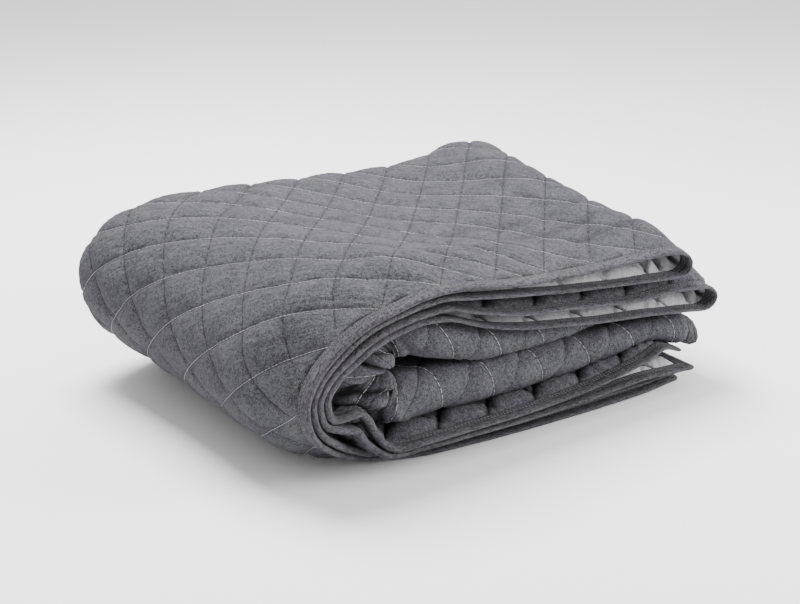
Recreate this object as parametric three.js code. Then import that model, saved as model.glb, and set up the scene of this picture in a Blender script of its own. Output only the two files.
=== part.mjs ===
// A quilted throw, folded to a soft block: a quilted panel and the binding round its four edges.
// Millimetres, +Z up, +X along the folded block from its round bend, +Y from its open front to its back.
// The origin is on the surface the throw rests on, under the middle of the block.
import * as THREE from "three";

// Flat sizes of the throw and of its cloth
const FLAT_WIDTH = 1400;
const BINDING_WIDTH = 14;
const SHEET_THICKNESS = 4.6;
const SEAM_GAP = 0.8;

// The folded block: 8 layers in each arm of the C, a little apart
const LAYER = 9.9;
const LAYERS_PER_ARM = 8;
const ARM = LAYER * LAYERS_PER_ARM;
const SKIN = LAYER / 2;
const OUTSIDE_SHARE = (SKIN - SHEET_THICKNESS / 2) / ARM;
const FRONT_EDGE_Y = -168;
const FRONT_Y = FRONT_EDGE_Y + BINDING_WIDTH;
const ARM_RIGHT_X = 212;
const OUTER_BEND_X = -128;
const INNER_BEND_X = -103;
const INNER_BEND_LENGTH = 13;

// How far in from the binding the loose edges spread from the even stack
const LOOSE_DEPTH = 55;

// Height of the top layer above the surface it rests on, a row per place along X
const TOP_COLUMNS = [-180, -150, -97, -34, 30, 93, 165];
const TOP = [
  { x: -210, heights: [158, 158, 158, 159, 165, 169, 167] },
  { x: -128, heights: [163, 163, 162, 163, 164, 165, 165] },
  { x: -90, heights: [169, 169, 167, 162, 160, 162, 164] },
  { x: -40, heights: [160, 160, 159, 155, 154, 157, 162] },
  { x: 15, heights: [150, 151, 152, 149, 148, 152, 160] },
  { x: 69, heights: [142, 143, 144, 149, 150, 150, 157] },
  { x: 124, heights: [139, 139, 141, 150, 156, 156, 158] },
  { x: 178, heights: [137, 141, 147, 156, 165, 171, 170] },
  { x: 222, heights: [131, 138, 146, 151, 160, 169, 169] },
];

// The line where the two arms meet, and how far apart they are there
const MIDDLE = [
  { x: INNER_BEND_X, height: 88, gap: 14 },
  { x: -73, height: 84, gap: 10 },
  { x: -45, height: 78, gap: 4 },
  { x: -10, height: 74, gap: 2 },
  { x: 57, height: 72, gap: 2 },
  { x: 190, height: 69, gap: 3 },
  { x: 245, height: 62, gap: 6 },
];

// The round bend at each place along Y: how far left it reaches, the height of its middle,
// and how full its curve is above and below that (2 is an ellipse)
const BEND = [
  { y: -168, left: -222, middle: 80, above: 2, below: 2 },
  { y: -154, left: -222.5, middle: 80, above: 2, below: 2 },
  { y: -88, left: -232, middle: 84, above: 2, below: 1.95 },
  { y: 30, left: -241, middle: 92, above: 2.1, below: 1.88 },
  { y: 93, left: -249, middle: 95, above: 2.4, below: 1.8 },
  { y: 165, left: -257, middle: 97, above: 2.6, below: 1.75 },
];

// The front edges: where each layer lies between the outside (0) and the middle (1) of its arm.
// Stations run along the C: 0 is the right end of the upper arm, 1 to 2 the round bend,
// 3 the right end of the lower arm.
const EVEN = { one: 0.0625, two: 0.1875, three: 0.3125, four: 0.4375, roll: 0.53 };
const FRONT = [
  { at: -0.15, one: 0.11, two: 0.46, three: 0.58, four: 0.9, roll: 0.955 },
  { at: 0.06, one: 0.11, two: 0.45, three: 0.6, four: 0.885, roll: 0.935 },
  { at: 0.2, one: 0.1, two: 0.4, three: 0.618, four: 0.822, roll: 0.89 },
  { at: 0.35, one: 0.115, two: 0.34, three: 0.556, four: 0.766, roll: 0.83 },
  { at: 0.48, one: 0.146, two: 0.314, three: 0.51, four: 0.704, roll: 0.775 },
  { at: 0.61, one: 0.185, two: 0.3, three: 0.502, four: 0.662, roll: 0.735 },
  { at: 0.74, one: 0.19, two: 0.296, three: 0.454, four: 0.596, roll: 0.665 },
  { at: 0.84, one: 0.245, two: 0.32, three: 0.426, four: 0.536, roll: 0.605 },
  { at: 0.93, one: 0.3, two: 0.376, three: 0.48, four: 0.556, roll: 0.615 },
  { at: 1.05, one: 0.315, two: 0.39, three: 0.5, four: 0.576, roll: 0.64 },
  { at: 1.25, one: 0.284, two: 0.37, three: 0.486, four: 0.562, roll: 0.65 },
  { at: 1.42, one: 0.215, two: 0.284, three: 0.37, four: 0.442, roll: 0.54 },
  { at: 1.5, one: 0.19, two: 0.255, three: 0.322, four: 0.386, roll: 0.5 },
  { at: 1.6, one: 0.195, two: 0.262, three: 0.318, four: 0.382, roll: 0.52 },
  { at: 1.68, one: 0.208, two: 0.28, three: 0.4, four: 0.6, roll: 0.67 },
  { at: 1.75, one: 0.22, two: 0.295, three: 0.466, four: 0.59, roll: 0.67 },
  { at: 1.85, one: 0.21, two: 0.28, three: 0.39, four: 0.504, roll: 0.61 },
  { at: 2.0, one: 0.108, two: 0.19, three: 0.276, four: 0.34, roll: 0.5 },
  { at: 2.1, one: 0.065, two: 0.17, three: 0.29, four: 0.366, roll: 0.51 },
  { at: 2.2, one: 0.0625, two: 0.172, three: 0.304, four: 0.388, roll: 0.52 },
  { at: 2.4, one: 0.0625, two: 0.172, three: 0.314, four: 0.416, roll: 0.53 },
  { at: 2.6, one: 0.068, two: 0.17, three: 0.338, four: 0.474, roll: 0.57 },
  { at: 2.8, one: 0.08, two: 0.18, three: 0.38, four: 0.6, roll: 0.68 },
  { at: 2.92, one: 0.0625, two: 0.17, three: 0.345, four: 0.67, roll: 0.74 },
  { at: 3.02, one: 0.0625, two: 0.17, three: 0.32, four: 0.64, roll: 0.735 },
  { at: 3.09, one: 0.0625, two: 0.17, three: 0.3, four: 0.52, roll: 0.6 },
];

// How far each front edge lies in front of (-) or behind (+) the front line, by the same stations
const SETBACK = [
  { at: -0.15, one: -2, two: 0, three: -6, four: -8, roll: 34 },
  { at: 0.2, one: 0, two: 0, three: -4, four: -6, roll: 30 },
  { at: 0.5, one: 0, two: 0, three: -4, four: -5, roll: 12 },
  { at: 0.9, one: 0, two: 0, three: 0, four: 0, roll: 4 },
  { at: 1.1, one: -2, two: 0, three: 0, four: 0, roll: 16 },
  { at: 1.3, one: -2, two: 0, three: 2, four: 2, roll: 4 },
  { at: 1.5, one: -2, two: 0, three: 2, four: 2, roll: 18 },
  { at: 1.7, one: 4, two: 4, three: 0, four: 0, roll: 4 },
  { at: 1.85, one: 16, two: 13, three: 0, four: 0, roll: 12 },
  { at: 2.0, one: 24, two: 20, three: -4, four: -6, roll: 8 },
  { at: 2.16, one: 13, two: 12, three: -10, four: -12, roll: 8 },
  { at: 2.5, one: 3, two: 4, three: -13, four: -14, roll: 8 },
  { at: 2.8, one: -1, two: 2, three: -14, four: -12, roll: 8 },
  { at: 3.0, one: 6, two: 6, three: -13, four: 4, roll: 8 },
];

// Where the folded ends lie along X and how far their rounding runs, by place round the folded section
// (0 to 4 passes of the strip)
const ENDS = [
  { pass: 0, fold: 210, rounding: 18, hem: 200 },
  { pass: 0.15, fold: 209, rounding: 14, hem: 205 },
  { pass: 0.3, fold: 199, rounding: 12, hem: 210 },
  { pass: 0.5, fold: 196, rounding: 8, hem: 212 },
  { pass: 0.7, fold: 197, rounding: 8, hem: 214 },
  { pass: 0.95, fold: 213, rounding: 8, hem: 214 },
  { pass: 1.5, fold: 222, rounding: 8, hem: 216 },
  { pass: 2, fold: 208, rounding: 8, hem: 227 },
  { pass: 2.5, fold: 222, rounding: 8, hem: 220 },
  { pass: 3.2, fold: 228, rounding: 8, hem: 214 },
  { pass: 3.7, fold: 235, rounding: 14, hem: 208 },
  { pass: 4, fold: 242, rounding: 20, hem: 200 },
];

// Steps of the faceted cloth
const STRAIGHT_STEPS = 4;
const ARM_STEPS = 7;
const BEND_STEPS = 11;
const FOLD_STEPS = 6;
const END_FOLD_STEPS = 4;

const DARK_MELANGE = 0x4b4b53;
const BINDING_GREY = 0x414149;

const lerp = (a, b, t) => a + (b - a) * t;
const clamp01 = (t) => Math.min(1, Math.max(0, t));
const smooth = (t) => {
  const c = clamp01(t);
  return c * c * (3 - 2 * c);
};

// A named column of a table, read smoothly between its rows by a cubic that neither overshoots nor kinks
function column(rows, key, name, at) {
  const last = rows.length - 1;
  if (at <= rows[0][key]) return rows[0][name];
  if (at >= rows[last][key]) return rows[last][name];
  let i = 0;
  while (at > rows[i + 1][key]) i += 1;
  const place = rows.map((row) => row[key]);
  const value = rows.map((row) => row[name]);
  const slope = (k) => (value[k + 1] - value[k]) / (place[k + 1] - place[k]);
  const tangent = (k) => {
    if (k === 0 || k === last) return 0;
    const a = slope(k - 1);
    const b = slope(k);
    return a * b <= 0 ? 0 : (2 * a * b) / (a + b);
  };
  const span = place[i + 1] - place[i];
  const t = (at - place[i]) / span;
  const t2 = t * t;
  const t3 = t2 * t;
  return (
    value[i] * (2 * t3 - 3 * t2 + 1) +
    value[i + 1] * (3 * t2 - 2 * t3) +
    span * (tangent(i) * (t3 - 2 * t2 + t) + tangent(i + 1) * (t3 - t2))
  );
}

// Height of the top layer at x, y
function topHeight(x, y) {
  const across = TOP.map((row) => ({
    x: row.x,
    height: column(
      TOP_COLUMNS.map((place, k) => ({ y: place, height: row.heights[k] })),
      "y",
      "height",
      y,
    ),
  }));
  return column(across, "x", "height", x);
}

// The C-shaped block: a point at station q along the C, at depth share d and at place y
// (share 0 is the outside of the C, 1 its middle line)
function blockPoint(q, d, y) {
  const bendX = lerp(OUTER_BEND_X, INNER_BEND_X, d);
  if (q <= 1) {
    const x = lerp(ARM_RIGHT_X, bendX, q);
    return [x, lerp(topHeight(x, y) + SKIN, middleHeight(x, 1), d)];
  }
  if (q >= 2) {
    const x = lerp(bendX, ARM_RIGHT_X, q - 2);
    return [x, lerp(undersideHeight(x), middleHeight(x, -1), d)];
  }
  const angle = Math.PI * (q - 0.5);
  const upper = Math.sin(angle) > 0;
  const outerReach = OUTER_BEND_X - column(BEND, "y", "left", y) + SKIN;
  const power = 2 / lerp(column(BEND, "y", upper ? "above" : "below", y), 2, d);
  const x = bendX + lerp(outerReach, INNER_BEND_LENGTH, d) * signedPower(Math.cos(angle), power);
  const outerZ = upper ? topHeight(x, y) + SKIN : undersideHeight(x);
  const outerMiddle = column(BEND, "y", "middle", y);
  const innerMiddle = middleHeight(INNER_BEND_X, 0);
  const innerTall = middleHeight(INNER_BEND_X, 1) - innerMiddle;
  const tall = lerp(Math.abs(outerZ - outerMiddle), innerTall, d);
  return [x, lerp(outerMiddle, innerMiddle, d) + tall * signedPower(Math.sin(angle), power)];
}

// Height of the middle line, on its upper (1) or lower (-1) side
function middleHeight(x, side) {
  return column(MIDDLE, "x", "height", x) + (side * column(MIDDLE, "x", "gap", x)) / 2;
}

// Height of share 0 in the lower arm, which puts the outer face of its first layer flat at zero
function undersideHeight(x) {
  return (-OUTSIDE_SHARE * middleHeight(x, -1)) / (1 - OUTSIDE_SHARE);
}

function signedPower(value, power) {
  return Math.sign(value) * Math.abs(value) ** power;
}

// At the front the even layers move to the places that the FRONT table gives
const KNOTS = ["one", "two", "three", "four", "roll"];

function loosened(table, q, d, even) {
  const rows = [{ d: 0, moved: even ? 0 : column(table, "at", "one", q) }];
  for (const name of KNOTS) rows.push({ d: EVEN[name], moved: column(table, "at", name, q) });
  rows.push({ d: 1, moved: even ? 1 : column(table, "at", "roll", q) });
  let i = 0;
  while (i < rows.length - 2 && d > rows[i + 1].d) i += 1;
  const t = (d - rows[i].d) / (rows[i + 1].d - rows[i].d);
  return lerp(rows[i].moved, rows[i + 1].moved, t);
}

// From the even stack (station q, depth in mm, place y) to the real place of that point
function place(q, depth, y) {
  const d = depth / ARM;
  const loose = 1 - smooth((y - FRONT_Y) / LOOSE_DEPTH);
  const share = lerp(d, loosened(FRONT, q, d, true), loose);
  const moved = y + loose * loosened(SETBACK, q, d, false);
  const [x, z] = blockPoint(q, share, moved);
  return [x, moved, z];
}

// The folded section: v runs along the width from the first front edge to the last, n across the pack.
// Depths are in the arm, and the radii are those of the wide and the two tight folds.
const PACK_DEPTH = [LAYER, 7 * LAYER, 5 * LAYER, 3 * LAYER];
const BACK_DEPTH = 4 * LAYER;
const FRONT_DEPTH = 6 * LAYER;
const WIDE = 3 * LAYER;
const TIGHT = LAYER;
const FRONT_CENTRE = FRONT_EDGE_Y + 2 * LAYER;
const BACK_CENTRE = foldsAtBack();

// The place of the back folds, from the flat width: four straight passes and three half turns use it up
function foldsAtBack() {
  const halfTurns = Math.PI * (WIDE + 2 * TIGHT);
  const straight = FLAT_WIDTH - 2 * BINDING_WIDTH - halfTurns;
  return (straight + 2 * FRONT_Y + 2 * FRONT_CENTRE) / 4;
}

// Rows of the section in order: straight passes and the folds between them
const SECTION = [
  { kind: "pass", pass: 0, from: FRONT_Y, to: BACK_CENTRE, depth: PACK_DEPTH[0], side: -1 },
  { kind: "fold", pass: 1, y: BACK_CENTRE, depth: BACK_DEPTH, radius: WIDE, from: -90, to: 90, side: 1 },
  { kind: "pass", pass: 1, from: BACK_CENTRE, to: FRONT_CENTRE, depth: PACK_DEPTH[1], side: 1 },
  { kind: "fold", pass: 2, y: FRONT_CENTRE, depth: FRONT_DEPTH, radius: TIGHT, from: 90, to: 270, side: 1 },
  { kind: "pass", pass: 2, from: FRONT_CENTRE, to: BACK_CENTRE, depth: PACK_DEPTH[2], side: -1 },
  { kind: "fold", pass: 3, y: BACK_CENTRE, depth: BACK_DEPTH, radius: TIGHT, from: 90, to: -90, side: -1 },
  { kind: "pass", pass: 3, from: BACK_CENTRE, to: FRONT_Y, depth: PACK_DEPTH[3], side: 1 },
];

// The stations round the folded section: each tells where a point n off the pack's middle lies
function sectionStations() {
  const stations = [];
  for (const row of SECTION) {
    const steps = row.kind === "pass" ? STRAIGHT_STEPS : FOLD_STEPS;
    const first = stations.length === 0 ? 0 : 1;
    for (let k = first; k <= steps; k += 1) stations.push(stationOf(row, k / steps));
  }
  return stations;
}

function stationOf(row, t) {
  if (row.kind === "pass") {
    const y = lerp(row.from, row.to, t);
    return { round: row.pass + t, at: (n) => [y, row.depth + row.side * n] };
  }
  const angle = THREE.MathUtils.degToRad(lerp(row.from, row.to, t));
  return {
    round: row.pass,
    at: (n) => {
      const r = row.radius + row.side * n;
      return [row.y + r * Math.cos(angle), row.depth + r * Math.sin(angle)];
    },
  };
}

// A station past the front edge, by the given distance
function beyond(stations, first, distance) {
  const end = first ? stations[0] : stations[stations.length - 1];
  return {
    round: end.round,
    at: (n) => {
      const [y, depth] = end.at(n);
      return [y - distance, depth];
    },
  };
}

// The stations along the strip's length: both leaves of the strip and the end fold between them.
// Each gives the station q along the C and how far off the pack's middle the leaf lies.
function lengthStations() {
  const leaf = [];
  for (let k = 1; k <= ARM_STEPS; k += 1) leaf.push(k / ARM_STEPS);
  for (let k = 1; k <= BEND_STEPS; k += 1) leaf.push(1 + k / BEND_STEPS);
  for (let k = 1; k <= ARM_STEPS; k += 1) leaf.push(2 + k / ARM_STEPS);
  const stations = [];
  for (const q of [...leaf].reverse()) stations.push({ q, leaf: 1, angle: 90 });
  for (let k = 0; k <= END_FOLD_STEPS; k += 1) {
    stations.push({ q: 0, leaf: 0, angle: 90 - (180 * k) / END_FOLD_STEPS });
  }
  for (const q of leaf) stations.push({ q, leaf: -1, angle: -90 });
  return stations;
}

const ARM_LENGTH = ARM_RIGHT_X - OUTER_BEND_X;

// A point of the cloth: along the length station, across the section station, off the sheet's middle by m.
// hem is how far the point lies past the end of the panel.
function clothPoint(along, across, m, hem) {
  const foldX = column(ENDS, "pass", "fold", across.round);
  const rounding = column(ENDS, "pass", "rounding", across.round);
  const hemX = column(ENDS, "pass", "hem", across.round) + hem;
  const turn = THREE.MathUtils.degToRad(along.angle);
  const n = (LAYER / 2 + m) * Math.sin(turn);
  let q = along.q;
  if (along.leaf === 0) {
    const x = foldX - rounding + (rounding + m) * Math.cos(turn);
    q = (ARM_RIGHT_X - x) / ARM_LENGTH;
  } else if (q < 1) {
    q = lerp((ARM_RIGHT_X - foldX + rounding) / ARM_LENGTH, 1, q);
  } else if (q > 2) {
    q = 2 + ((hemX - OUTER_BEND_X) / ARM_LENGTH) * (q - 2);
  }
  const [y, depth] = across.at(n);
  return place(q, depth, y);
}

// A closed solid from a grid of points: two skins joined round the border
function closedSheet(grid, thickness) {
  const rows = grid.length;
  const columns = grid[0].length;
  const positions = [];
  for (const side of [1, -1]) {
    for (const line of grid) for (const point of line) positions.push(...point((side * thickness) / 2));
  }
  const at = (side, i, j) => side * rows * columns + i * columns + j;
  const index = [];
  const quad = (a, b, c, d) => index.push(a, b, c, a, c, d);
  for (let i = 0; i + 1 < rows; i += 1) {
    for (let j = 0; j + 1 < columns; j += 1) {
      quad(at(0, i, j), at(0, i + 1, j), at(0, i + 1, j + 1), at(0, i, j + 1));
      quad(at(1, i, j), at(1, i, j + 1), at(1, i + 1, j + 1), at(1, i + 1, j));
    }
  }
  for (let i = 0; i + 1 < rows; i += 1) {
    quad(at(0, i, 0), at(1, i, 0), at(1, i + 1, 0), at(0, i + 1, 0));
    const j = columns - 1;
    quad(at(0, i + 1, j), at(1, i + 1, j), at(1, i, j), at(0, i, j));
  }
  for (let j = 0; j + 1 < columns; j += 1) {
    quad(at(0, 0, j + 1), at(1, 0, j + 1), at(1, 0, j), at(0, 0, j));
    const i = rows - 1;
    quad(at(0, i, j), at(1, i, j), at(1, i, j + 1), at(0, i, j + 1));
  }
  return solidGeometry(positions, index);
}

// A closed ring from four lines of points that run round it
function closedRing(corners) {
  const steps = corners[0].length;
  const positions = corners.flat().flat();
  const index = [];
  for (let c = 0; c < corners.length; c += 1) {
    const next = (c + 1) % corners.length;
    for (let k = 0; k < steps; k += 1) {
      const after = (k + 1) % steps;
      const a = c * steps + k;
      const b = c * steps + after;
      const d = next * steps + k;
      const e = next * steps + after;
      index.push(a, b, e, a, e, d);
    }
  }
  return solidGeometry(positions, index);
}

function solidGeometry(positions, index) {
  const geometry = new THREE.BufferGeometry();
  geometry.setAttribute("position", new THREE.Float32BufferAttribute(positions, 3));
  geometry.setIndex(index);
  geometry.computeVertexNormals();
  return geometry;
}

function quiltPanel() {
  const lengths = lengthStations();
  const widths = sectionStations();
  const grid = lengths.map((along) =>
    widths.map((across) => (m) => clothPoint(along, across, m, 0)),
  );
  return closedSheet(grid, SHEET_THICKNESS);
}

// The binding lies just past the panel's border, from the seam gap out to its own width
function binding() {
  const lengths = lengthStations();
  const widths = sectionStations();
  const ring = (distance) => {
    const before = beyond(widths, true, distance);
    const after = beyond(widths, false, distance);
    const first = lengths[0];
    const last = lengths[lengths.length - 1];
    const all = [before, ...widths, after];
    return [
      ...lengths.map((along) => ({ along, across: before, hem: 0 })),
      ...all.map((across) => ({ along: last, across, hem: distance })),
      ...[...lengths].reverse().map((along) => ({ along, across: after, hem: 0 })),
      ...[...all].reverse().map((across) => ({ along: first, across, hem: distance })),
    ];
  };
  const line = (distance, m) =>
    ring(distance).map(({ along, across, hem }) => clothPoint(along, across, m, hem));
  const half = SHEET_THICKNESS / 2;
  const inner = SEAM_GAP;
  const outer = BINDING_WIDTH;
  return closedRing([line(inner, half), line(inner, -half), line(outer, -half), line(outer, half)]);
}

function namedMesh(name, geometry, color) {
  const material = new THREE.MeshStandardMaterial({ color, roughness: 0.95, metalness: 0 });
  const mesh = new THREE.Mesh(geometry, material);
  mesh.name = name;
  return mesh;
}

const throwGroup = new THREE.Group();
throwGroup.add(
  namedMesh("quilt_panel", quiltPanel(), DARK_MELANGE),
  namedMesh("binding", binding(), BINDING_GREY),
);

export default throwGroup;
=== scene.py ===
"""A quilted throw folded to a soft block: its quilted cloth, bound edges, quilting thread and edge stitches.

Metres, +Z up, +X along the folded block away from its round bend, +Y from the open front to the back folds.
The cloth is made flat, as it was cut, and then every point of it is carried to its place in the folded block.
Flat places are u along the cloth's length and v across its width.
"""

import math

import bmesh
import bpy
import numpy as np
from mathutils import Matrix, Vector


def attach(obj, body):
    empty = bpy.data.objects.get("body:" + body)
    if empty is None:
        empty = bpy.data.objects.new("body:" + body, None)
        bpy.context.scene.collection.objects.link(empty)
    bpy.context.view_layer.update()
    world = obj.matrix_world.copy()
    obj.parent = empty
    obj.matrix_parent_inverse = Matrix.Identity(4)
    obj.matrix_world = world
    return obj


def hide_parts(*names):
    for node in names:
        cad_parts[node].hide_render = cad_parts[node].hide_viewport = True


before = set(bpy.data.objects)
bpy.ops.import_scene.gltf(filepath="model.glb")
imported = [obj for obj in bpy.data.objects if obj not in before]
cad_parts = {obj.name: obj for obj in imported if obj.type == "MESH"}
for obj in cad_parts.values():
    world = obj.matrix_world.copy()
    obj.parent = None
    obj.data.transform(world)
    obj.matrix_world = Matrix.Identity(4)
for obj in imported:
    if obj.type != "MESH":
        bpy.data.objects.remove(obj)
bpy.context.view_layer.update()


def table(names, *rows):
    """Rows of values under named columns."""
    return [dict(zip(names.split(), row)) for row in rows]


# The flat cloth and its folded section, as in the part's own source
FLAT_WIDTH = 1.4
FLAT_LENGTH = 2.0
BINDING_WIDTH = 0.014
LAYER = 0.0099
ARM = 8 * LAYER
SKIN = LAYER / 2
SHEET_THICKNESS = 0.0046
OUTSIDE_SHARE = (SKIN - SHEET_THICKNESS / 2) / ARM
FRONT_EDGE_Y = -0.168
FRONT_Y = FRONT_EDGE_Y + BINDING_WIDTH
ARM_RIGHT_X = 0.212
OUTER_BEND_X = -0.128
INNER_BEND_X = -0.103
INNER_BEND_LENGTH = 0.013
LOOSE_DEPTH = 0.055
ARM_LENGTH = ARM_RIGHT_X - OUTER_BEND_X
PANEL_WIDTH = FLAT_WIDTH - 2 * BINDING_WIDTH
PANEL_LENGTH = FLAT_LENGTH - 2 * BINDING_WIDTH

# Height of the top layer: a row per place along X, with heights at these places along Y
TOP_PLACES = [-0.18, -0.15, -0.097, -0.034, 0.03, 0.093, 0.165]
TOP = table(
    "x heights",
    (-0.21, [0.158, 0.158, 0.158, 0.159, 0.165, 0.169, 0.167]),
    (-0.128, [0.163, 0.163, 0.162, 0.163, 0.164, 0.165, 0.165]),
    (-0.09, [0.169, 0.169, 0.167, 0.162, 0.160, 0.162, 0.164]),
    (-0.04, [0.160, 0.160, 0.159, 0.155, 0.154, 0.157, 0.162]),
    (0.015, [0.150, 0.151, 0.152, 0.149, 0.148, 0.152, 0.160]),
    (0.069, [0.142, 0.143, 0.144, 0.149, 0.150, 0.150, 0.157]),
    (0.124, [0.139, 0.139, 0.141, 0.150, 0.156, 0.156, 0.158]),
    (0.178, [0.137, 0.141, 0.147, 0.156, 0.165, 0.171, 0.170]),
    (0.222, [0.131, 0.138, 0.146, 0.151, 0.160, 0.169, 0.169]),
)

# The line where the two arms meet, and how far apart they are there
MIDDLE = table(
    "x height gap",
    (INNER_BEND_X, 0.088, 0.014),
    (-0.073, 0.084, 0.01),
    (-0.045, 0.078, 0.004),
    (-0.01, 0.074, 0.002),
    (0.057, 0.072, 0.002),
    (0.19, 0.069, 0.003),
    (0.245, 0.062, 0.006),
)

# The round bend by place along Y: its reach, the height of its middle, and its fullness (2 is an ellipse)
BEND = table(
    "y left middle above below",
    (-0.168, -0.222, 0.08, 2, 2),
    (-0.154, -0.2225, 0.08, 2, 2),
    (-0.088, -0.232, 0.084, 2, 1.95),
    (0.03, -0.241, 0.092, 2.1, 1.88),
    (0.093, -0.249, 0.095, 2.4, 1.8),
    (0.165, -0.257, 0.097, 2.6, 1.75),
)
BEND_SAMPLES = 200
MID_BEND = 1.5

# The front edges: where each layer lies between the outside (0) and the middle (1) of its arm, by stations
# along the C: 0 is the right end of the upper arm, 1 to 2 the round bend, 3 the right end below
EVEN = {"one": 0.0625, "two": 0.1875, "three": 0.3125, "four": 0.4375, "roll": 0.53}
FRONT = table(
    "at one two three four roll",
    (-0.15, 0.11, 0.46, 0.58, 0.9, 0.955),
    (0.06, 0.11, 0.45, 0.6, 0.885, 0.935),
    (0.2, 0.1, 0.4, 0.618, 0.822, 0.89),
    (0.35, 0.115, 0.34, 0.556, 0.766, 0.83),
    (0.48, 0.146, 0.314, 0.51, 0.704, 0.775),
    (0.61, 0.185, 0.3, 0.502, 0.662, 0.735),
    (0.74, 0.19, 0.296, 0.454, 0.596, 0.665),
    (0.84, 0.245, 0.32, 0.426, 0.536, 0.605),
    (0.93, 0.3, 0.376, 0.48, 0.556, 0.615),
    (1.05, 0.315, 0.39, 0.5, 0.576, 0.64),
    (1.25, 0.284, 0.37, 0.486, 0.562, 0.65),
    (1.42, 0.215, 0.284, 0.37, 0.442, 0.54),
    (1.5, 0.19, 0.255, 0.322, 0.386, 0.5),
    (1.6, 0.195, 0.262, 0.318, 0.382, 0.52),
    (1.68, 0.208, 0.28, 0.4, 0.6, 0.67),
    (1.75, 0.22, 0.295, 0.466, 0.59, 0.67),
    (1.85, 0.21, 0.28, 0.39, 0.504, 0.61),
    (2.0, 0.108, 0.19, 0.276, 0.34, 0.5),
    (2.1, 0.065, 0.17, 0.29, 0.366, 0.51),
    (2.2, 0.0625, 0.172, 0.304, 0.388, 0.52),
    (2.4, 0.0625, 0.172, 0.314, 0.416, 0.53),
    (2.6, 0.068, 0.17, 0.338, 0.474, 0.57),
    (2.8, 0.08, 0.18, 0.38, 0.6, 0.68),
    (2.92, 0.0625, 0.17, 0.345, 0.67, 0.74),
    (3.02, 0.0625, 0.17, 0.32, 0.64, 0.735),
    (3.09, 0.0625, 0.17, 0.3, 0.52, 0.6),
)

# How far each front edge lies in front of (-) or behind (+) the front line, by the same stations
SETBACK = table(
    "at one two three four roll",
    (-0.15, -0.002, 0, -0.006, -0.008, 0.034),
    (0.2, 0, 0, -0.004, -0.006, 0.03),
    (0.5, 0, 0, -0.004, -0.005, 0.012),
    (0.9, 0, 0, 0, 0, 0.004),
    (1.1, -0.002, 0, 0, 0, 0.016),
    (1.3, -0.002, 0, 0.002, 0.002, 0.004),
    (1.5, -0.002, 0, 0.002, 0.002, 0.018),
    (1.7, 0.004, 0.004, 0, 0, 0.004),
    (1.85, 0.016, 0.013, 0, 0, 0.012),
    (2.0, 0.024, 0.02, -0.004, -0.006, 0.008),
    (2.16, 0.013, 0.012, -0.01, -0.012, 0.008),
    (2.5, 0.003, 0.004, -0.013, -0.014, 0.008),
    (2.8, -0.001, 0.002, -0.014, -0.012, 0.008),
    (3.0, 0.006, 0.006, -0.013, 0.004, 0.008),
)

# Where the folded ends lie along X and how far their rounding runs, by passes round the folded section
ENDS = table(
    "round fold rounding hem",
    (0, 0.21, 0.018, 0.2),
    (0.15, 0.209, 0.014, 0.205),
    (0.3, 0.199, 0.012, 0.21),
    (0.5, 0.196, 0.008, 0.212),
    (0.7, 0.197, 0.008, 0.214),
    (0.95, 0.213, 0.008, 0.214),
    (1.5, 0.222, 0.008, 0.216),
    (2, 0.208, 0.008, 0.227),
    (2.5, 0.222, 0.008, 0.22),
    (3.2, 0.228, 0.008, 0.214),
    (3.7, 0.235, 0.014, 0.208),
    (4, 0.242, 0.02, 0.2),
)

# Where the right end of the lower roll droops, how far, and over what lengths that starts and stops
DROOP = {"from_x": 0.168, "from_y": -0.1, "top": 0.064, "bottom": 0.02, "fall": 0.0105}
DROOP_FADE = {"sideways": 0.05, "top": 0.018, "bottom": 0.022}

# Quilting: half the diamond's two diagonals, where the pattern starts, and how far apart its lines are
HALF_ALONG = 0.02743
HALF_ACROSS = 0.03158
PATTERN_U = 0.4157
PATTERN_V = 0.1624
PATTERN_ROW = 6
LINE_SPACING = 2 * HALF_ALONG * HALF_ACROSS / math.hypot(HALF_ALONG, HALF_ACROSS)

# Near the round bend the quilting runs askew to the front border, by so much along and across the cloth
ASKEW_DEPTH = 0.075
ASKEW_ROUNDS = 14
ASKEW = table(
    "u along across",
    (0.16, 0, 0),
    (0.21, 0.015, 0.018),
    (0.27, 0.02, 0.028),
    (0.32, 0.016, 0.027),
    (0.385, 0, 0.024),
    (0.45, -0.008, 0.02),
    (0.52, 0, 0),
)

# The cloth's half thickness at its seams and at the least, and how it tapers under the binding
SEAM_HALF = 0.0012
LEAST_HALF = 0.0003
LEAST_ROOM = 0.0004
CLEARANCE = 0.00025
CLOTH_FLOOR_GAP = 0.0003
TAPER = 0.012
TAPER_START = 0.001

# How far the diamonds puff up, and how their grooves run
FACE_PUFF = 0.0038
REVERSE_PUFF = 0.002
CROWN_SHARE = 0.7
SHALLOW_GROOVE = 0.75
GROOVE_WIDTH = 0.0014

# Small gathers along the stitch lines: their height, length and reach, and how unevenly the waves follow
PUCKER = 0.00045
PUCKER_WAVE = 0.0125
PUCKER_REACH = 0.008
PUCKER_SWAY = 2
DEEP_SWAY = (5.3, 2.1)
SHALLOW_SWAY = (4.7, 1.3)
SHALLOW_PUCKER = 0.6

# Near the front edges the layers puff up into the room between them, with notches at the second set of lines
FRONT_FILL = 0.004
FRONT_FILL_DEPTH = 0.05
FILL_SHALLOW_GROOVE = 0.6
FILL_GROOVE_WIDTH = 0.0007
NOTCH_SLOPE = 0.2
NOTCH_START = 0.007
NOTCH_DEPTH = 0.022
NOTCH_FADE = 0.01

# The front roll swells, less in its grooves and where it turns the bend
ROLL_SWELL = 0.0045
ROLL_REACH = 0.045
ROLL_CALM = 0.6
ROLL_GROOVE = 0.86
ROLL_BEND = {"half": 0.8, "fade": 0.3, "less": 0.35}

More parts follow.
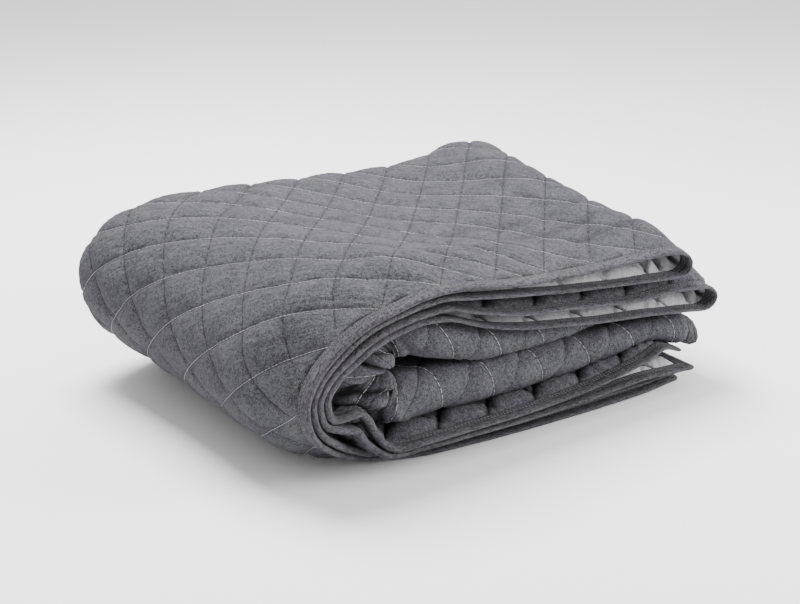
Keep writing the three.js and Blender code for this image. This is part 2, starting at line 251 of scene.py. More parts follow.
# Painted shade: a trough this deep is wholly darkened in the cloth's colour, and so, in part, are the
# reverse's seams at the border
SHADED_DEPTH = 0.0045
PINCH_SHADE = {"share": 0.7, "depth": 0.007, "width": 0.0014}

# Main creases and ridges, placed on the flat cloth: from one place to another, on a face
CREASE_COLUMNS = "u v to_u to_v width height face"
DRAG_FOLDS = table(
    CREASE_COLUMNS,
    (0.02, 0.05, 0.10, 0.045, 0.0045, -0.0019, 1),
    (0.05, 0.075, 0.15, 0.07, 0.005, -0.0018, 1),
    (0.03, 0.11, 0.09, 0.1, 0.0045, -0.0015, 1),
    (0.12, 0.1, 0.22, 0.105, 0.006, -0.0014, 1),
    (0.16, 0.05, 0.25, 0.06, 0.006, 0.0013, 1),
)
GATHERS_IN_THE_BEND = table(
    CREASE_COLUMNS,
    (0.442, 0.731, 0.441, 0.698, 0.0036, -0.0065, 1),
    (0.470, 0.726, 0.500, 0.700, 0.006, 0.003, 1),
    (0.505, 0.7195, 0.595, 0.7115, 0.0022, -0.0055, 1),
    (0.497, 0.7215, 0.505, 0.7255, 0.004, -0.007, 1),
    (0.523, 0.7235, 0.62, 0.7175, 0.0022, 0.003, 1),
    (0.62, 0.7175, 0.65, 0.7265, 0.0022, 0.003, 1),
    (0.598, 0.7225, 0.625, 0.730, 0.0025, -0.004, 1),
    (0.400, 0.731, 0.388, 0.712, 0.0035, -0.0035, 1),
    (0.420, 0.724, 0.395, 0.714, 0.0025, -0.003, 1),
    (0.365, 0.728, 0.352, 0.712, 0.003, -0.003, 1),
    (0.338, 0.724, 0.330, 0.708, 0.003, -0.0025, 1),
)
LOW_PLEATS = table(
    CREASE_COLUMNS,
    (0.742, 1.350, 0.752, 1.3655, 0.0022, -0.0035, 1),
    (0.792, 1.353, 0.797, 1.363, 0.0022, -0.003, 1),
    (0.812, 1.350, 0.822, 1.365, 0.002, -0.002, 1),
    (0.850, 1.350, 0.857, 1.364, 0.002, -0.0022, 1),
    (0.900, 1.352, 0.893, 1.364, 0.0022, -0.0025, 1),
    (0.690, 1.350, 0.698, 1.364, 0.0022, -0.0025, 1),
)
PALE_GATHERS = table(
    CREASE_COLUMNS,
    (-0.049, 0, -0.046, 0.03, 0.0016, -0.004, -1),
    (-0.040, 0, -0.040, 0.05, 0.004, 0.005, -1),
    (-0.029, 0.003, -0.030, 0.04, 0.0034, -0.006, -1),
    (-0.019, 0, -0.018, 0.05, 0.0035, 0.005, -1),
    (-0.008, 0, -0.007, 0.04, 0.004, -0.006, -1),
    (-0.009, 1.34, -0.007, 1.372, 0.0022, -0.005, -1),
    (-0.017, 1.32, -0.017, 1.372, 0.003, 0.004, -1),
    (-0.026, 1.34, -0.025, 1.372, 0.003, -0.005, -1),
    (0.045, 1.345, 0.052, 1.372, 0.0018, -0.003, -1),
)
CREASES = DRAG_FOLDS + GATHERS_IN_THE_BEND + LOW_PLEATS + PALE_GATHERS

# More room than this means that nothing lies beside the cloth there
FREE = 0.5

# The grid of each face: its steps in a diamond, how they crowd at the seams, and how much of it is spare
CELL_STEPS = 3
CROWDING = 0.6
SPARE = 0.03

# Where the grid is finer, by distance from the borders, folds, ends, roll and bend; rims stay even
OUTER_LEAF = -0.02
EVEN_RIM = 0.016
FINER = {"edge": 0.05, "fold": 0.1, "end": 0.035, "past_bend": 0.01, "skin_share": 0.8, "roll": 0.04}
FINEST = {"front": 0.035, "loop": 0.06, "loop_end": 0.1, "rim": 0.03, "rim_end": 0.08}
CRUMPLE = {"roll": 0.021, "from_u": 0.34, "to_u": 0.67}

# The binding: its steps, its half thickness by place, its rounded corners and its two rows of stitches
BINDING_STEP = 0.005
BINDING_HALF = 0.0019
BINDING_BEND_HALF = 0.0034
BINDING_SKIN_HALF = 0.0022
BINDING_BEND = {"half": 0.7, "fade": 0.3}
BINDING_MAP_STEP = 0.0013
CORNER_RADIUS = 0.0075
STITCH_ROWS = (0.002, 0.005)

# The binding's section: how far out from the panel's border, and its share of the half thickness there
BINDING_FACE = table(
    "out share",
    (-0.0008, 0.8),
    (0.0, 0.97),
    (0.0012, 1.0),
    (STITCH_ROWS[0], 0.74),
    (0.0028, 1.0),
    (0.0042, 1.0),
    (STITCH_ROWS[1], 0.74),
    (0.0058, 1.0),
    (0.009, 0.98),
    (0.0115, 0.86),
    (0.0133, 0.55),
)
BINDING_SECTION = [
    *({**row, "side": 1} for row in BINDING_FACE),
    {"out": BINDING_WIDTH, "share": 0, "side": 1},
    *({**row, "side": -1} for row in reversed(BINDING_FACE)),
]

# Stitches: how often, how long and how thick they are, and how far they stand off the cloth
STITCH_STEP = 0.0038
STITCH_HALF_LENGTH = 0.002
STITCH_RADIUS = 0.00028
SHALLOW_LIFT = 0.0007
DEEP_LIFT = -0.00018
ON_LINE = 0.01
EDGE_STITCH_STEP = 0.0036
EDGE_STITCH_HALF_LENGTH = 0.0012
EDGE_STITCH_SHARE = 0.86
FLOOR_GAP = 0.0002

# Where the quilting thread shows: from the end fold, round the roll and the back fold, and off the border
THREAD_SHOWS = {"outer": -0.01, "roll": 0.035, "before_fold": 0.02, "edge": 0.0015}

# Felt: three sizes of noise and how they mix, and how the fibres stand up
FIBRES = {"Scale": 850, "Detail": 3, "Roughness": 0.7}
CLUMPS = {"Scale": 330, "Detail": 2}
CLOUDS = {"Scale": 45}
CLUMP_SHARE = 0.26
CLOUD_SHARE = 0.13
FIBRE_BUMP = {"Strength": 0.6, "Distance": 0.0007}
CLOTH_SURFACE = {"Roughness": 0.95, "Specular IOR Level": 0.2}
STRIP_STRETCH = (0.35, 1, 1)

# The deep seams get painted shade, broken into jags, and so do the hollows; fine drag wrinkles run across the
# seams
SEAM_REACH = 0.03
SEAM_JAGS = {"From Min": 0.36, "From Max": 0.62, "To Min": 0.5}
JAGS = {"scale": (7, 2, 1), "detail": 2}
WRINKLES = {"scale": (6, 1.3, 1), "detail": 2.5}
WRINKLE_BUMP = {"Strength": 0.6, "Distance": 0.0036}
SEAM_SHADE_STRENGTH = 0.85
SEAM_SHADE_TONE = 0.5
HOLLOW_SHADE_TONE = 0.25

# The lighter and darker tone of each cloth, with the contrast between them, and of each thread
FACE_MIX = {"light": (0.094, 0.091, 0.107), "dark": (0.024, 0.023, 0.0285), "contrast": 5.5}
REVERSE_MIX = {"light": (0.45, 0.445, 0.465), "dark": (0.255, 0.25, 0.265), "contrast": 4.5}
STRIP_MIX = {"light": (0.088, 0.084, 0.096), "dark": (0.021, 0.0198, 0.0238), "contrast": 5.5}
LIGHT_THREAD = {"light": (0.44, 0.44, 0.46), "dark": (0.28, 0.28, 0.3)}
# A darker copy of the light thread for the deep set of lines: painted shade of their creases
SHADED_THREAD = {"light": (0.17, 0.17, 0.18), "dark": (0.08, 0.08, 0.085)}
# A grey thread for the edge stitches, set darker as painted shade of the stitches in the binding's grooves
SHADED_EDGE_THREAD = {"light": (0.2, 0.195, 0.21), "dark": (0.07, 0.07, 0.075)}
THREAD_SURFACE = {"Roughness": 0.6}
THREAD_TWIST = 1500

# Camera and studio
CAMERA_PLACE = (-0.6878, -0.9888, 0.5332)
CAMERA_TILT = 90 - 20.8
CAMERA_TURN = -34.72
CAMERA_LENS = 61.09
CAMERA_SENSOR = 36
WHITE = (1, 1, 1)
FLOOR_SIZE = 20
FLOOR_TONE = 0.97
FLOOR_ROUGHNESS = 0.9
WORLD_LIGHT = {"left": 0.5, "right": 1.6, "seen": 1.9}
BRIGHT_SIDE = (0.92, -0.15, 0.36)
LAMP_TARGET = Vector((0, 0, 0.08))
LAMPS = table(
    "name place size power",
    ("overhead", (-0.05, 0.6, 1.5), 0.9, 71),
    ("right", (1.6, -1.3, 0.75), 0.9, 58),
)

# The sockets of a colour mix
MIX_A = 6
MIX_B = 7
MIX_RESULT = 2


def cubic(knots, values, at):
    """Values at some knots, read between them by a cubic that neither overshoots nor kinks."""
    knots = np.asarray(knots, float)
    values = np.asarray(values, float)
    if values.ndim == 1:
        values = np.repeat(values[:, None], at.size, axis=1)
    slope = np.diff(values, axis=0) / np.diff(knots)[:, None]
    before, after = slope[:-1], slope[1:]
    product = before * after
    total = np.where(product > 0, before + after, 1)
    tangent = np.zeros_like(values)
    tangent[1:-1] = np.where(product > 0, 2 * product / total, 0)
    at = np.clip(at, knots[0], knots[-1])
    i = np.clip(np.searchsorted(knots, at) - 1, 0, len(knots) - 2)
    span = knots[i + 1] - knots[i]
    t = (at - knots[i]) / span
    ends = own_row(values, i) * (2 * t**3 - 3 * t**2 + 1) + own_row(values, i + 1) * (3 * t**2 - 2 * t**3)
    bend = own_row(tangent, i) * (t**3 - 2 * t**2 + t) + own_row(tangent, i + 1) * (t**3 - t**2)
    return ends + span * bend


def own_row(values, row):
    """One value from each column of an array, in the row given for that column."""
    return np.take_along_axis(values, row[None, :], axis=0)[0]


def column(rows, key, name, at):
    """A named column of a table, at places of its key column."""
    return cubic([row[key] for row in rows], [row[name] for row in rows], at)


def lerp(a, b, t):
    return a + (b - a) * t


def smooth(t):
    c = np.clip(t, 0, 1)
    return c * c * (3 - 2 * c)


def signed_power(value, power):
    return np.sign(value) * np.abs(value) ** power


def top_height(x, y):
    heights = [cubic(TOP_PLACES, row["heights"], y) for row in TOP]
    return cubic([row["x"] for row in TOP], heights, x)


def middle_height(x, side):
    return column(MIDDLE, "x", "height", x) + side * column(MIDDLE, "x", "gap", x) / 2


def underside_height(x):
    return -OUTSIDE_SHARE * middle_height(x, -1) / (1 - OUTSIDE_SHARE)


def block_point(q, d, y):
    """x and z in the C-shaped block, at station q along the C, depth share d and place y."""
    bend_x = lerp(OUTER_BEND_X, INNER_BEND_X, d)
    upper_x = lerp(ARM_RIGHT_X, bend_x, q)
    lower_x = lerp(bend_x, ARM_RIGHT_X, q - 2)
    upper_z = lerp(top_height(upper_x, y) + SKIN, middle_height(upper_x, 1), d)
    lower_z = lerp(underside_height(lower_x), middle_height(lower_x, -1), d)

    angle = math.pi * (np.clip(q, 1, 2) - 0.5)
    upper = np.sin(angle) > 0
    fullness = np.where(upper, column(BEND, "y", "above", y), column(BEND, "y", "below", y))
    power = 2 / lerp(fullness, 2, d)
    reach = OUTER_BEND_X - column(BEND, "y", "left", y) + SKIN
    round_x = bend_x + lerp(reach, INNER_BEND_LENGTH, d) * signed_power(np.cos(angle), power)
    outer_z = np.where(upper, top_height(round_x, y) + SKIN, underside_height(round_x))
    outer_middle = column(BEND, "y", "middle", y)
    here = np.full_like(q, INNER_BEND_X)
    inner_middle = middle_height(here, 0)
    inner_tall = middle_height(here, 1) - inner_middle
    tall = lerp(np.abs(outer_z - outer_middle), inner_tall, d)
    round_z = lerp(outer_middle, inner_middle, d) + tall * signed_power(np.sin(angle), power)

    x = np.where(q <= 1, upper_x, np.where(q >= 2, lower_x, round_x))
    z = np.where(q <= 1, upper_z, np.where(q >= 2, lower_z, round_z))
    return x, z


def loosened(rows, q, d, first, last):
    """What a table of the layers says at station q, read between its columns by depth share d."""
    columns = [column(rows, "at", name, q) for name in EVEN]
    first = columns[0] if first is None else np.full_like(q, first)
    last = columns[-1] if last is None else np.full_like(q, last)
    values = np.array([first, *columns, last])
    knots = np.array([0, *EVEN.values(), 1])
    i = np.clip(np.searchsorted(knots, d, side="right") - 1, 0, len(knots) - 2)
    t = (d - knots[i]) / (knots[i + 1] - knots[i])
    return lerp(own_row(values, i), own_row(values, i + 1), t)


def place(q, depth, y):
    """From the even stack to the real place of a point: the front edges spread as in their tables."""
    d = depth / ARM
    loose = 1 - smooth((y - FRONT_Y) / LOOSE_DEPTH)
    share = lerp(d, loosened(FRONT, q, d, 0, 1), loose)
    moved = y + loose * loosened(SETBACK, q, d, None, None)
    x, z = block_point(q, share, moved)
    return np.stack([x, moved, z - droop(x, moved, z)], axis=-1)


def droop(x, y, z):
    """How far the right end of the lower roll hangs down over the layers under it."""
    right = smooth((x - DROOP["from_x"]) / DROOP_FADE["sideways"])
    front = smooth((DROOP["from_y"] - y) / DROOP_FADE["sideways"])
    under_top = smooth((DROOP["top"] - z) / DROOP_FADE["top"])
    over_bottom = smooth((z - DROOP["bottom"]) / DROOP_FADE["bottom"])
    return DROOP["fall"] * right * front * under_top * over_bottom


# The folded section across the cloth: straight passes and the folds between them, with depths in the arm
WIDE_FOLD = 3 * LAYER
TIGHT_FOLD = LAYER
FRONT_CENTRE = FRONT_EDGE_Y + 2 * LAYER
HALF_TURNS = math.pi * (WIDE_FOLD + 2 * TIGHT_FOLD)
BACK_CENTRE = (PANEL_WIDTH - HALF_TURNS + 2 * FRONT_Y + 2 * FRONT_CENTRE) / 4
LONG_PASS = BACK_CENTRE - FRONT_Y
SHORT_PASS = BACK_CENTRE - FRONT_CENTRE
SECTION = table(
    "length y way depth side fold_start",
    (LONG_PASS, FRONT_Y, 1, LAYER, -1, None),
    (math.pi * WIDE_FOLD, BACK_CENTRE, 1, 4 * LAYER, 1, -90),
    (SHORT_PASS, BACK_CENTRE, -1, 7 * LAYER, 1, None),
    (math.pi * TIGHT_FOLD, FRONT_CENTRE, 1, 6 * LAYER, 1, 90),
    (SHORT_PASS, FRONT_CENTRE, 1, 5 * LAYER, -1, None),
    (math.pi * TIGHT_FOLD, BACK_CENTRE, -1, 4 * LAYER, -1, 90),
    (LONG_PASS, BACK_CENTRE, -1, 3 * LAYER, 1, None),
)
ROLL_V = LONG_PASS + math.pi * WIDE_FOLD + SHORT_PASS + math.pi * TIGHT_FOLD / 2


def across_the_pack(v, n):
    """y, depth and passes round the section, at v across the cloth and n off the middle of its pack."""
    y = np.zeros_like(v)
    depth = np.zeros_like(v)
    around = np.zeros_like(v)
    start = 0.0
    last = len(SECTION) - 1
    for k, row in enumerate(SECTION):
        end = start + row["length"]
        here = ((v >= start) | (k == 0)) & ((v < end) | (k == last))
        along = v[here] - start
        if row["fold_start"] is None:
            y[here] = row["y"] + row["way"] * along
            depth[here] = row["depth"] + row["side"] * n[here]
            around[here] = k / 2 + np.clip(along / row["length"], 0, 1)
        else:
            turn = math.radians(row["fold_start"]) + row["way"] * math.pi * along / row["length"]
            radius = row["length"] / math.pi + row["side"] * n[here]
            y[here] = row["y"] + radius * np.cos(turn)
            depth[here] = row["depth"] + radius * np.sin(turn)
            around[here] = (k + 1) / 2
        start = end
    return y, depth, around


def passes_round(v):
    return across_the_pack(v, np.zeros_like(v))[2]


def skin_lengths():
    """How the length round the outermost layer of the bend grows with the station."""
    q = np.linspace(1, 2, BEND_SAMPLES)
    x, z = block_point(q, np.full_like(q, LAYER / 2 / ARM), np.zeros_like(q))
    steps = np.hypot(np.diff(x), np.diff(z))
    return q, np.concatenate([[0], np.cumsum(steps)])


BEND_STATIONS, BEND_LENGTHS = skin_lengths()
BEND_LENGTH = BEND_LENGTHS[-1]
INNER_SHORTER = math.pi * LAYER / 2

# The flat ends of the cloth: near u = 0 it turns from the outer leaf, above 0, to the one folded under it
U_MAX = 2 * ARM_LENGTH + BEND_LENGTH
U_MIN = U_MAX - PANEL_LENGTH


def along_the_pack(u, around):
    """Station along the C, turn of the end fold, and that fold's place and rounding, at u along the cloth."""
    fold_x = column(ENDS, "round", "fold", around)
    rounding = column(ENDS, "round", "rounding", around)
    hem_x = column(ENDS, "round", "hem", around)
    quarter = math.pi / 2 * np.sqrt((rounding**2 + (LAYER / 2) ** 2) / 2)
    apex = ARM_RIGHT_X - fold_x + rounding - quarter
    outer = u >= apex
    upper = fold_x - rounding - OUTER_BEND_X
    bend = np.where(outer, BEND_LENGTH, BEND_LENGTH - INNER_SHORTER)
    lower = hem_x - OUTER_BEND_X
    room = np.where(outer, U_MAX - apex - quarter - upper - bend, lower)
    stretch = np.where(outer, 1, (quarter + upper + bend + lower) / (apex - U_MIN))
    far = np.abs(u - apex) * stretch - quarter
    turn = np.clip(1 + far / quarter, 0, 1) * math.pi / 2
    q_fold = (ARM_RIGHT_X - fold_x + rounding) / ARM_LENGTH
    q_upper = lerp(q_fold, 1, np.clip(far, 0, upper) / upper)
    q_bend = np.interp((far - upper) / bend * BEND_LENGTH, BEND_LENGTHS, BEND_STATIONS)
    q_lower = 2 + lower / ARM_LENGTH * (far - upper - bend) / room
    q = np.where(far < upper, q_upper, np.where(far < upper + bend, q_bend, q_lower))
    return q, np.where(outer, turn, -turn), fold_x, rounding


def stations(u, v):
    return along_the_pack(u, passes_round(v))[0]


def cloth_point(u, v, shift):
    """The place of a point of the folded cloth, shift off its middle in the even stack."""
    q, turn, fold_x, rounding = along_the_pack(u, passes_round(v))
    n = (LAYER / 2 + shift) * np.sin(turn)
    x = fold_x - rounding + (rounding + shift) * np.cos(turn)
    q = np.where(np.abs(turn) < math.pi / 2, (ARM_RIGHT_X - x) / ARM_LENGTH, q)
    y, depth, _ = across_the_pack(v, n)
    return place(q, depth, y)


def normals(u, v):
    """The way the dark face points at places of the cloth."""
    step = 0.0006
    none = np.zeros_like(u)
    along = cloth_point(u + step, v, none) - cloth_point(u - step, v, none)
    across = cloth_point(u, v + step, none) - cloth_point(u, v - step, none)
    out = np.cross(across, along)
    return out / np.maximum(np.linalg.norm(out, axis=1), 1e-12)[:, None]


def room_beside(u, v, middle, side):
    """Half the way to the next layer on each point's own side, or a long way where there is none."""
    way = np.where(side > 0, 1, -1)
    next_layer = cloth_point(u, v, way * LAYER)
    half_way = np.linalg.norm(next_layer - middle, axis=1) / 2
    around = passes_round(v)
    outside = (u >= 0) & (way > 0)
    first_pass = around <= 1.001
    front_roll = np.abs(around - 2) < 1e-6
    return np.where(outside & (first_pass | front_roll), 2 * FREE, half_way)


def askew(u, v):
    """How far the quilting is shifted along and across the cloth at a place."""
    fade = 1 - smooth(v / ASKEW_DEPTH)
    return fade * column(ASKEW, "u", "along", u), fade * column(ASKEW, "u", "across", u)


def pattern_place(u, v):
    """Where a place lies in the quilting: whole numbers are the two sets of stitch lines."""
    along, across = askew(u, v)
    a = (PATTERN_U - u - along) / HALF_ALONG
    b = PATTERN_ROW + (PATTERN_V - v + across) / HALF_ACROSS
    return (b - a) / 2, (b + a) / 2


def flat_place(i, j):
    """The other way: from the quilting's numbers to the flat cloth, by steps that come ever nearer."""
    straight_u = PATTERN_U - (j - i) * HALF_ALONG
    straight_v = PATTERN_V - (i + j - PATTERN_ROW) * HALF_ACROSS
    u, v = straight_u, straight_v
    for _ in range(ASKEW_ROUNDS):
        along, across = askew(u, v)
        u, v = straight_u - along, straight_v + across
    return u, v


def corner_numbers():
    """The quilting's numbers at the panel's four corners."""
    corner_u = np.array([U_MIN, U_MAX, U_MIN, U_MAX])
    corner_v = np.array([0, 0, PANEL_WIDTH, PANEL_WIDTH])
    return pattern_place(corner_u, corner_v)


def from_line(number):
    """How far a place lies from the nearest line of a set."""
    return np.abs(number - np.round(number)) * LINE_SPACING


def from_long_edge(v):
    return np.minimum(v, PANEL_WIDTH - v)


def from_border(u, v):
    return np.minimum.reduce([v, PANEL_WIDTH - v, u - U_MIN, U_MAX - u])


def grooves(shallow, deep, width, shallow_groove):
    """1 on the cloth, less near the first set of stitch lines and 0 on the second set."""
    return (1 - shallow_groove * np.exp(-shallow / width)) * (1 - np.exp(-deep / width))


def puckers(i, j, shallow, deep):
    """Small gathers across the stitch lines, as uneven waves about 1 high."""

    def wave(along, line, sway):
        uneven = PUCKER_SWAY * np.sin(sway[0] * along + sway[1] * np.round(line))
        return np.sin(2 * math.pi * LINE_SPACING / PUCKER_WAVE * along + uneven)

    across_deep = np.exp(-deep / PUCKER_REACH) * wave(i, j, DEEP_SWAY)
    across_shallow = np.exp(-shallow / PUCKER_REACH) * wave(j, i, SHALLOW_SWAY)
    return across_deep + SHALLOW_PUCKER * across_shallow


def creases(u, v, side):
    """The height of the creases and ridges placed one by one."""
    total = np.zeros_like(u)
    for row in CREASES:
        run_u, run_v = row["to_u"] - row["u"], row["to_v"] - row["v"]
        share = ((u - row["u"]) * run_u + (v - row["v"]) * run_v) / (run_u**2 + run_v**2)
        share = np.clip(share, 0, 1)
        far = np.hypot(u - row["u"] - share * run_u, v - row["v"] - share * run_v)
        total += np.where(side == row["face"], row["height"] * np.exp(-((far / row["width"]) ** 2)), 0)
    return total


def edge_groove(edge):
    """How wide a groove of the second set is near a front edge: a notch that closes towards the border."""
    return FILL_GROOVE_WIDTH + NOTCH_SLOPE * np.clip(edge - NOTCH_START, 0, NOTCH_DEPTH - NOTCH_START)


def painted_shade_in_hollows(u, v, side):
    """Painted shade for the cloth's colour, from 0 to 1: in creases, and by the edges in notches and seams.
    """
    i, j = pattern_place(u, v)
    shallow, deep = from_line(i), from_line(j)
    edge = from_long_edge(v)
    by_edge = 1 - smooth((edge - NOTCH_DEPTH) / NOTCH_FADE)
    notch = by_edge * np.exp(-((deep / edge_groove(edge)) ** 2)) * (v > PANEL_WIDTH / 2)
    seam = np.exp(-np.minimum(shallow, deep) / PINCH_SHADE["width"])
    pinch_shade = PINCH_SHADE["share"] * (1 - smooth(edge / PINCH_SHADE["depth"])) * seam * (side < 0)
    return np.clip(notch + pinch_shade + np.clip(-creases(u, v, side) / SHADED_DEPTH, 0, 1), 0, 1)


def on_roll(u, v):
    """1 on the outer leaf's front roll, falling to 0 beside it."""
    return smooth(1 - np.abs(v - ROLL_V) / ROLL_REACH) * (u > 0)


def swell(u, v, q):
    """How far the front roll swells, less where it turns the bend."""
    bend = smooth((ROLL_BEND["half"] - np.abs(q - MID_BEND)) / ROLL_BEND["fade"])
    return ROLL_SWELL * on_roll(u, v) * (1 - ROLL_BEND["less"] * bend)


def stand_cloth(u, v, side):
    """The real places of points on the dark (1) or pale (-1) face of the folded cloth; 0 is its cut edge."""
    middle = cloth_point(u, v, np.zeros_like(u))
    q = stations(u, v)
    room = room_beside(u, v, middle, side)
    i, j = pattern_place(u, v)
    shallow, deep = from_line(i), from_line(j)
    crown = np.sqrt(np.sin(np.pi * shallow / LINE_SPACING) * np.sin(np.pi * deep / LINE_SPACING))
    relief = lerp(1, crown, CROWN_SHARE) * grooves(shallow, deep, GROOVE_WIDTH, SHALLOW_GROOVE)
    edge = from_long_edge(v)
    front = smooth(1 - edge / FRONT_FILL_DEPTH) * (room < FREE)
    puff = np.where(side > 0, FACE_PUFF * (1 - ROLL_CALM * on_roll(u, v)), REVERSE_PUFF) * relief
    puff += FRONT_FILL * front * grooves(shallow, deep, edge_groove(edge), FILL_SHALLOW_GROOVE)
    puff += swell(u, v, q) * lerp(ROLL_GROOVE, 1, relief) * (side > 0)
    puff += PUCKER * puckers(i, j, shallow, deep) + creases(u, v, side)
    under_binding = smooth((from_border(u, v) + TAPER_START) / TAPER)
    height = SEAM_HALF + puff * under_binding
    height = np.clip(height, LEAST_HALF, np.maximum(room - CLEARANCE, LEAST_ROOM))
    placed = middle + normals(u, v) * (side * height)[:, None]

    # The rolls of the two arms stay on their own sides of the line where they meet
    line = middle_height(placed[:, 0], 0)
    upper = np.maximum(placed[:, 2], line + CLEARANCE)
    lower = np.minimum(placed[:, 2], line - CLEARANCE)
    placed[:, 2] = np.where(q < 1, upper, np.where(q > 2, lower, placed[:, 2]))
    placed[:, 2] = np.maximum(placed[:, 2], CLOTH_FLOOR_GAP)
    return placed


def detail_wanted(u, v, side):
    """How often the coarse grid is halved at a place: more where the cloth shows or turns."""
    around = passes_round(v)
    outer = u > OUTER_LEAF
    edge = from_long_edge(v)
    end = np.abs(u)
    fold = np.abs(around - np.round(around)) < FINER["fold"]
    before_bend = ARM_LENGTH - FINER["past_bend"]
    past_bend = ARM_LENGTH + BEND_LENGTH + FINER["past_bend"]
    inner_bend = (end > before_bend) & (end < past_bend) & (around > 1) & (around < 3)
    wanted = ((edge < FINER["edge"]) | fold | (end < FINER["end"]) | inner_bend).astype(int)

    skin_v = LONG_PASS + FINER["skin_share"] * math.pi * WIDE_FOLD
    skin_u = ARM_LENGTH + FINER["skin_share"] * BEND_LENGTH
    skin = outer & (v < skin_v) & (u < skin_u)
    roll = outer & (np.abs(v - ROLL_V) < FINER["roll"])
    past_rim = edge > EVEN_RIM
    front = (edge < FINEST["front"]) & past_rim & (outer | (v > PANEL_WIDTH / 2))
    loop = (edge < FINEST["loop"]) & past_rim & (end < FINEST["loop_end"])
    loop_rim = (edge < FINEST["rim"]) & (end < FINEST["rim_end"])
    fine = np.where(side > 0, skin & past_rim | roll | front, loop) | loop_rim
    inside_bend = (u > CRUMPLE["from_u"]) & (u < CRUMPLE["to_u"])
    crumple = outer & (np.abs(v - ROLL_V) < CRUMPLE["roll"]) & inside_bend & (side > 0)
    return np.where(crumple, 3, np.where(fine, 2, wanted))


def flat_face(side):
    """One face of the flat panel: a grid in line with the quilting, halved where it shows and cut square."""
    made = bmesh.new()
    i, j = corner_numbers()
    low = [math.floor(i.min()), math.floor(j.min())]
    high = [math.ceil(i.max()), math.ceil(j.max())]
    cells = [high[0] - low[0], high[1] - low[1]]
    steps = [CELL_STEPS * count for count in cells]
    bmesh.ops.create_grid(made, x_segments=steps[0], y_segments=steps[1], size=0.5)
    stretch = Matrix.Diagonal((cells[0], cells[1], 1, 1))
    middle = Matrix.Translation(((low[0] + high[0]) / 2, (low[1] + high[1]) / 2, 0))
    bmesh.ops.transform(made, matrix=middle @ stretch, verts=made.verts)

    u, v = face_centres(made)
    outside = (u < U_MIN - SPARE) | (u > U_MAX + SPARE) | (v < -SPARE) | (v > PANEL_WIDTH + SPARE)
    doomed = [face for face, out in zip(made.faces, outside) if out]
    bmesh.ops.delete(made, geom=doomed, context="FACES")
    for level in (1, 2, 3):
        wanted = detail_wanted(*face_centres(made), side) >= level
        chosen = {edge for face, yes in zip(made.faces, wanted) if yes for edge in face.edges}
        bmesh.ops.subdivide_edges(made, edges=list(chosen), cuts=1, use_grid_fill=True)

    numbers = np.array([vert.co[:2] for vert in made.verts])
    u, v = flat_place(crowd(numbers[:, 0]), crowd(numbers[:, 1]))
    for vert, *there in zip(made.verts, u, v):
        vert.co = (*there, 0)
    borders = table(
        "point way",
        ((U_MIN, 0, 0), (-1, 0, 0)),
        ((U_MAX, 0, 0), (1, 0, 0)),
        ((0, 0, 0), (0, -1, 0)),
        ((0, PANEL_WIDTH, 0), (0, 1, 0)),
    )
    for cut in borders:
        whole = made.verts[:] + made.edges[:] + made.faces[:]
        bmesh.ops.bisect_plane(made, geom=whole, plane_co=cut["point"], plane_no=cut["way"], clear_outer=True)
    inner = [vert for vert in made.verts if not vert.is_boundary]
    bmesh.ops.translate(made, vec=(0, 0, side * SEAM_HALF), verts=inner)
    return made


def face_centres(made):
    """The flat places of the middles of a grid's faces, while the grid is in the quilting's numbers."""
    centre = np.array([face.calc_center_median()[:2] for face in made.faces])
    return flat_place(centre[:, 0], centre[:, 1])


def crowd(value):
    """Moves a grid line nearer to the stitch line beside it, where the cloth curves most."""
    return value - CROWDING * np.sin(2 * math.pi * value) / (2 * math.pi)


def coordinates(mesh):
    flat = np.zeros(len(mesh.vertices) * 3)
    mesh.vertices.foreach_get("co", flat)
    return flat.reshape(-1, 3)


def set_coordinates(mesh, points):
    mesh.vertices.foreach_set("co", points.astype(np.float32).ravel())
    mesh.update()


def keep_map(mesh, name, flat):
    """Keeps flat places as a map of the mesh, so that patterns follow the cloth."""
    layer = mesh.uv_layers.new(name=name)
    corner = np.zeros(len(mesh.loops), int)
    mesh.loops.foreach_get("vertex_index", corner)
    layer.data.foreach_set("uv", flat[corner][:, :2].astype(np.float32).ravel())


def shade_smooth(mesh):
    mesh.polygons.foreach_set("use_smooth", np.ones(len(mesh.polygons), bool))


def link_object(name, data):
    """A named object of a mesh, lamp or camera, in the scene."""
    made = bpy.data.objects.new(name, data)
    bpy.context.scene.collection.objects.link(made)
    return made


def mesh_object(name, made):
    """A named object from a bmesh, which is then freed."""
    mesh = bpy.data.meshes.new(name)
    made.to_mesh(mesh)
    made.free()
    return link_object(name, mesh)


def quilted_cloth(face_material, reverse_material):
    """The quilted panel: its two faces are made flat, sewn together at the borders and then folded."""
    made = bmesh.new()
    for side in (1, -1):
        face = flat_face(side)
        half = bpy.data.meshes.new("half")
        face.to_mesh(half)
        face.free()
        made.from_mesh(half)
        bpy.data.meshes.remove(half)
    rims = [vert for vert in made.verts if vert.is_boundary]
    bmesh.ops.remove_doubles(made, verts=rims, dist=1e-6)
    bmesh.ops.recalc_face_normals(made, faces=made.faces)
    piece = mesh_object("quilted_cloth", made)
    mesh = piece.data
    flat = coordinates(mesh)
    u, v = flat[:, 0].copy(), flat[:, 1].copy()
    side = np.sign(np.round(flat[:, 2], 5))
    keep_map(mesh, "flat", flat)
    keep_map(mesh, "quilting", np.stack(pattern_place(u, v), axis=1))
    # Painted shade in creases, notches and seams, kept on the mesh for the colour
    shade = mesh.attributes.new("hollow_shade", "FLOAT", "POINT")
    shade.data.foreach_set("value", painted_shade_in_hollows(u, v, side).astype(np.float32))
    mesh.materials.append(face_material)
    mesh.materials.append(reverse_material)
    pale = np.array([min(flat[k, 2] for k in polygon.vertices) < -SEAM_HALF / 2 for polygon in mesh.polygons])
    mesh.polygons.foreach_set("material_index", pale.astype(np.int32))
    set_coordinates(mesh, stand_cloth(u, v, side))
    shade_smooth(mesh)
    return piece


